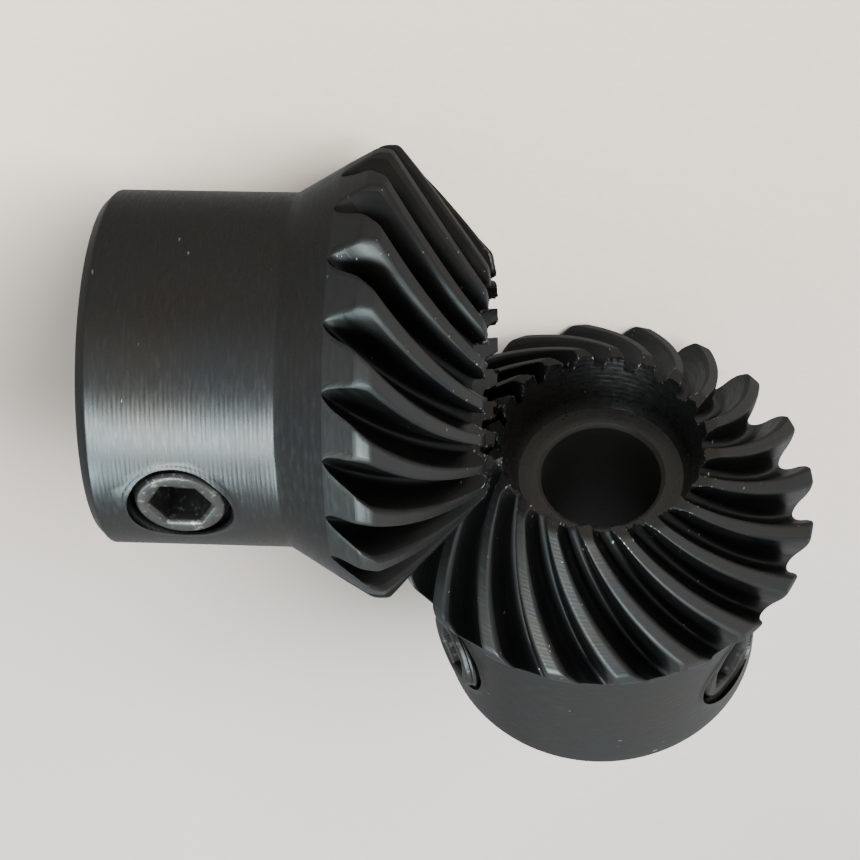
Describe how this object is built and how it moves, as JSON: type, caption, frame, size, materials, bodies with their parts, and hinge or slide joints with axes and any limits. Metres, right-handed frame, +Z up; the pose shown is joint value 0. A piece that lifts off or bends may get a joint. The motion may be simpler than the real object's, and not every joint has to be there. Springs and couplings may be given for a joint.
{
  "type": "spiral bevel gear pair",
  "caption": "Matched pair of equal spiral bevel gears meshing at a right angle, with bored hubs and radial socket set screws.",
  "frame": {"origin": "centre of the underside of the whole pair, level with the lowest teeth", "axes": "+X along the right-hand gear's axis and +Y along the left-hand gear's axis, both from the hub towards the point where the axes cross; +Z up"},
  "size_m": [0.034, 0.0354, 0.0214],
  "materials": {
    "black_oxide_gear": "black oxide, turned",
    "set_screw_steel": "black oxide, worn",
    "washer_steel": "ground, dark"
  },
  "bodies": {
    "mounting": {"left_hand_gear_thrust_washer": "washer_steel"},
    "left_hand_gear": {"left_hand_gear": "black_oxide_gear"},
    "right_hand_gear": {"right_hand_gear": "black_oxide_gear"},
    "left_hand_gear_set_screw_1": {"left_hand_gear_set_screw_1": "set_screw_steel"},
    "left_hand_gear_set_screw_2": {"left_hand_gear_set_screw_2": "set_screw_steel"},
    "right_hand_gear_set_screw_1": {"right_hand_gear_set_screw_1": "set_screw_steel"},
    "right_hand_gear_set_screw_2": {"right_hand_gear_set_screw_2": "set_screw_steel"}
  },
  "joints": [
    {"name": "left_hand_gear_spin", "type": "hinge", "parent": "mounting", "child": "left_hand_gear", "pos_m": [0.00637, 0.007, 0.0107], "axis": [0, 1, 0], "continuous": true},
    {"name": "right_hand_gear_spin", "type": "hinge", "parent": "mounting", "child": "right_hand_gear", "pos_m": [0.00637, 0.007, 0.0107], "axis": [1, 0, 0], "continuous": true},
    {"name": "left_hand_gear_set_screw_1_travel", "type": "slide", "parent": "left_hand_gear", "child": "left_hand_gear_set_screw_1", "axis": [-0.8829, 0, 0.4695], "range_m": [-0.0007, 0.004]},
    {"name": "left_hand_gear_set_screw_2_travel", "type": "slide", "parent": "left_hand_gear", "child": "left_hand_gear_set_screw_2", "axis": [0.848, 0, 0.5299], "range_m": [-0.00015, 0.004]},
    {"name": "right_hand_gear_set_screw_1_travel", "type": "slide", "parent": "right_hand_gear", "child": "right_hand_gear_set_screw_1", "axis": [0, 0.061, 0.9981], "range_m": [-0.00015, 0.004]},
    {"name": "right_hand_gear_set_screw_2_travel", "type": "slide", "parent": "right_hand_gear", "child": "right_hand_gear_set_screw_2", "axis": [0, -0.8949, -0.4462], "range_m": [-0.00015, 0.004]}
  ],
  "couplings": [
    {"joint": "right_hand_gear_spin", "follows": "left_hand_gear_spin", "ratio": -1}
  ]
}
